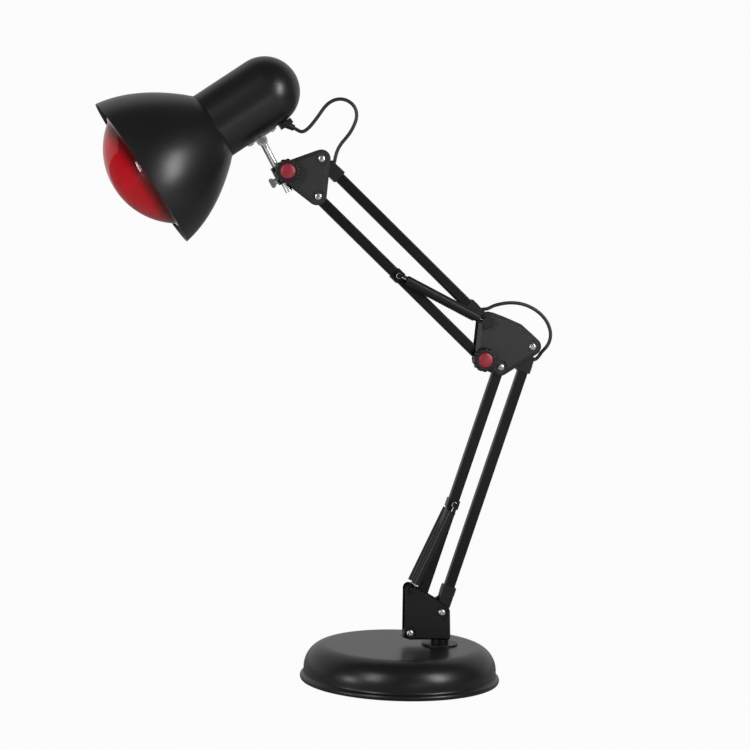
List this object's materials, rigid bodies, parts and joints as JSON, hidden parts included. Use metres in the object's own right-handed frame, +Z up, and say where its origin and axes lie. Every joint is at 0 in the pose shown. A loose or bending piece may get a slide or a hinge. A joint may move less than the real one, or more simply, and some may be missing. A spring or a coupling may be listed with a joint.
{
  "type": "infrared heat therapy lamp",
  "caption": "Desk infrared heat lamp: red reflector bulb in a black domed shade on a sprung, twin-link jointed arm with a round weighted base",
  "frame": {"origin": "centre of the round base on the underside of its foot pad", "axes": "+Z up; the arm and lamp lie in the XZ plane, lamp facing -X; the knobs are on the -Y side, the mains lead lies behind on the +Y side"},
  "size_m": [0.4581, 0.2754, 0.6152],
  "materials": {
    "black_enamel": "satin black enamel on the base",
    "black_paint": "satin black paint on bars, clips and sleeves",
    "plate_paint": "satin dark grey-black paint on the pressed plates",
    "shade_paint": "satin black paint on spun aluminium",
    "cast_iron": "raw casting",
    "zinc_steel": "zinc plated",
    "chrome": "bright chrome plate",
    "black_plastic": "matt black moulding",
    "gloss_black": "black moulding",
    "red_plastic": "red moulding",
    "cord_pvc": "soft black cord sheath",
    "foam_pad": "soft foam sheet",
    "porcelain": "white glazed porcelain",
    "red_glass": "ruby red bulb face",
    "silver_glass": "silvered glass",
    "brass": "plain brass"
  },
  "bodies": {
    "base": {"base_cover": "black_enamel", "base_weight": "cast_iron", "base_plate": "zinc_steel", "base_screws": "zinc_steel", "foot_pad": "foam_pad", "cord_grommet": "cord_pvc", "post_bush": "black_plastic", "mains_cord": "cord_pvc", "cord_coil": "cord_pvc", "plug_body": "gloss_black", "plug_pins": "chrome", "switch_case": "gloss_black"},
    "swivel": {"swivel_post": "black_paint", "post_nut": "zinc_steel", "base_bracket_near": "plate_paint", "base_bracket_far": "plate_paint", "base_bolts": "chrome", "bracket_cord": "cord_pvc"},
    "lower_front_arm": {"lower_front_bar": "black_paint", "lower_spring_clip": "black_paint"},
    "lower_rear_arm": {"lower_rear_bar": "black_paint", "rear_bar_end_caps": "black_plastic", "lower_bar_cord": "cord_pvc"},
    "lower_spring": {"lower_springs": "chrome", "lower_spring_sleeves": "black_plastic"},
    "lower_hook": {"lower_spring_hooks": "chrome"},
    "elbow": {"elbow_plate_near": "plate_paint", "elbow_plate_far": "plate_paint", "elbow_bolts": "chrome", "spring_bosses": "black_plastic", "elbow_cord": "cord_pvc"},
    "elbow_knob": {"elbow_knob": "black_plastic", "elbow_knob_cap": "red_plastic"},
    "upper_low_arm": {"upper_low_bar": "black_paint", "upper_spring_clip": "black_paint"},
    "upper_top_arm": {"upper_top_bar": "black_paint", "top_bar_end_caps": "black_plastic", "upper_bar_cord": "cord_pvc"},
    "upper_spring": {"upper_springs": "chrome", "upper_spring_sleeves": "black_plastic"},
    "upper_hook": {"upper_spring_hooks": "chrome"},
    "head_bracket": {"head_plate_near": "plate_paint", "head_plate_far": "plate_paint", "head_bolts": "chrome", "head_cord": "cord_pvc"},
    "head_knob": {"head_knob": "black_plastic", "head_knob_cap": "red_plastic"},
    "clamp": {"clamp_block": "black_plastic"},
    "wing_screw": {"wing_screw": "chrome"},
    "stem": {"stem_rod": "chrome"},
    "lamp_head": {"knuckle_bracket": "chrome", "knuckle_screws": "chrome", "shade": "shade_paint", "housing": "black_paint", "lamp_socket": "porcelain", "bulb_glass": "red_glass", "bulb_body": "silver_glass", "bulb_cap": "brass", "cord_gland": "black_plastic"},
    "switch_rocker": {"switch_rocker": "red_plastic"}
  },
  "joints": [
    {"name": "base_swivel", "type": "hinge", "parent": "base", "child": "swivel", "pos_m": [0.04, 0, 0.036], "axis": [0, 0, 1], "range_deg": [-170, 170]},
    {"name": "lower_tilt", "type": "hinge", "parent": "swivel", "child": "lower_rear_arm", "pos_m": [0.04, 0, 0.0695], "axis": [0, -1, 0], "range_deg": [-18, 36]},
    {"name": "lower_front_tilt", "type": "hinge", "parent": "swivel", "child": "lower_front_arm", "pos_m": [0.00812, 0, 0.04864], "axis": [0, -1, 0], "range_deg": [-18.2, 36.2]},
    {"name": "lower_spring_swing", "type": "hinge", "parent": "swivel", "child": "lower_spring", "pos_m": [0.00943, 0, 0.0925], "axis": [0, -1, 0], "range_deg": [-26.3, 52.4], "deforming": ["lower_springs", "lower_spring_sleeves"]},
    {"name": "lower_hook_swing", "type": "hinge", "parent": "lower_front_arm", "child": "lower_hook", "pos_m": [0.04885, 0, 0.17861], "axis": [0, -1, 0], "range_deg": [-8.3, 16.4], "deforming": ["lower_spring_hooks"]},
    {"name": "elbow_level", "type": "hinge", "parent": "lower_rear_arm", "child": "elbow", "pos_m": [0.12409, 0, 0.33783], "axis": [0, -1, 0], "range_deg": [-36.2, 18.2], "deforming": ["elbow_cord", "bracket_cord"]},
    {"name": "upper_tilt", "type": "hinge", "parent": "elbow", "child": "upper_top_arm", "pos_m": [0.07676, 0, 0.36119], "axis": [0, -1, 0], "range_deg": [-9, 30]},
    {"name": "upper_low_tilt", "type": "hinge", "parent": "elbow", "child": "upper_low_arm", "pos_m": [0.07431, 0, 0.32427], "axis": [0, -1, 0], "range_deg": [-9.2, 30.2]},
    {"name": "upper_spring_swing", "type": "hinge", "parent": "elbow", "child": "upper_spring", "pos_m": [0.07676, 0, 0.36119], "axis": [0, -1, 0], "range_deg": [-9.74, 32], "deforming": ["upper_springs", "upper_spring_sleeves"]},
    {"name": "upper_hook_swing", "type": "hinge", "parent": "upper_low_arm", "child": "upper_hook", "pos_m": [-0.01359, 0, 0.40538], "axis": [0, -1, 0], "range_deg": [-0.74, 2], "deforming": ["upper_spring_hooks"]},
    {"name": "elbow_knob_turn", "type": "hinge", "parent": "elbow", "child": "elbow_knob", "pos_m": [0.07431, 0, 0.32427], "axis": [0, -1, 0], "range_deg": [-120, 120]},
    {"name": "head_level", "type": "hinge", "parent": "upper_top_arm", "child": "head_bracket", "pos_m": [-0.09293, 0, 0.51778], "axis": [0, -1, 0], "range_deg": [-30.2, 9.2], "deforming": ["head_cord"]},
    {"name": "head_knob_turn", "type": "hinge", "parent": "head_bracket", "child": "head_knob", "pos_m": [-0.12708, 0, 0.50446], "axis": [0, -1, 0], "range_deg": [-120, 120]},
    {"name": "clamp_tilt", "type": "hinge", "parent": "head_bracket", "child": "clamp", "pos_m": [-0.12708, 0, 0.50446], "axis": [0, -1, 0], "range_deg": [-20, 25]},
    {"name": "wing_screw_turn", "type": "hinge", "parent": "clamp", "child": "wing_screw", "pos_m": [-0.13518, 0, 0.49523], "axis": [-0.8686, 0, -0.4955], "range_deg": [-180, 180]},
    {"name": "stem_swivel", "type": "hinge", "parent": "clamp", "child": "stem", "pos_m": [-0.13256, 0, 0.50134], "axis": [-0.4955, 0, 0.8686], "range_deg": [-45, 45]},
    {"name": "head_tilt", "type": "hinge", "parent": "stem", "child": "lamp_head", "pos_m": [-0.15089, 0, 0.53348], "axis": [0, -1, 0], "range_deg": [-30, 30]},
    {"name": "switch_press", "type": "hinge", "parent": "base", "child": "switch_rocker", "pos_m": [0.00122, 0.1132, 0.0088], "axis": [0.1564, 0.9877, 0], "range_deg": [-7, 7]}
  ],
  "couplings": [
    {"joint": "lower_front_tilt", "follows": "lower_tilt", "ratio": 1},
    {"joint": "lower_spring_swing", "follows": "lower_tilt", "ratio": 1.45},
    {"joint": "lower_hook_swing", "follows": "lower_tilt", "ratio": 0.45},
    {"joint": "elbow_level", "follows": "lower_tilt", "ratio": -1},
    {"joint": "upper_low_tilt", "follows": "upper_tilt", "ratio": 1},
    {"joint": "upper_spring_swing", "follows": "upper_tilt", "ratio": 1.06},
    {"joint": "upper_hook_swing", "follows": "upper_tilt", "ratio": 0.06},
    {"joint": "head_level", "follows": "upper_tilt", "ratio": -1}
  ]
}
